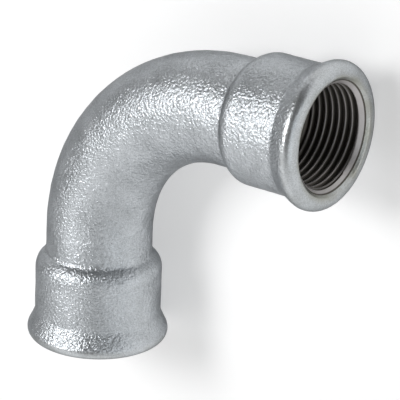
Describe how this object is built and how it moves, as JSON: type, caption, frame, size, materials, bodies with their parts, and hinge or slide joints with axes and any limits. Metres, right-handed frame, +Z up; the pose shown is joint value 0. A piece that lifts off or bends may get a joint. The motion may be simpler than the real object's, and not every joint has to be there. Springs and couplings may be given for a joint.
{
  "type": "long-sweep pipe elbow",
  "caption": "Galvanised cast-iron quarter bend for pipe, with a beaded, internally threaded socket at each end joined by a smooth long sweep.",
  "frame": {"origin": "centre of the inlet's mouth, in the plane of its face", "axes": "the elbow lies on its side, with the bend flat in the XY plane: the inlet faces -Y, the outlet faces +X and +Z is up, across the bend. The two axes cross at (0, 0.085, 0)."},
  "size_m": [0.107, 0.107, 0.044],
  "materials": {
    "galvanised_iron": "hot-dip galvanised, satin, with a pebbled cast skin"
  },
  "bodies": {
    "root": {"elbow_casting": "galvanised_iron"}
  },
  "joints": []
}
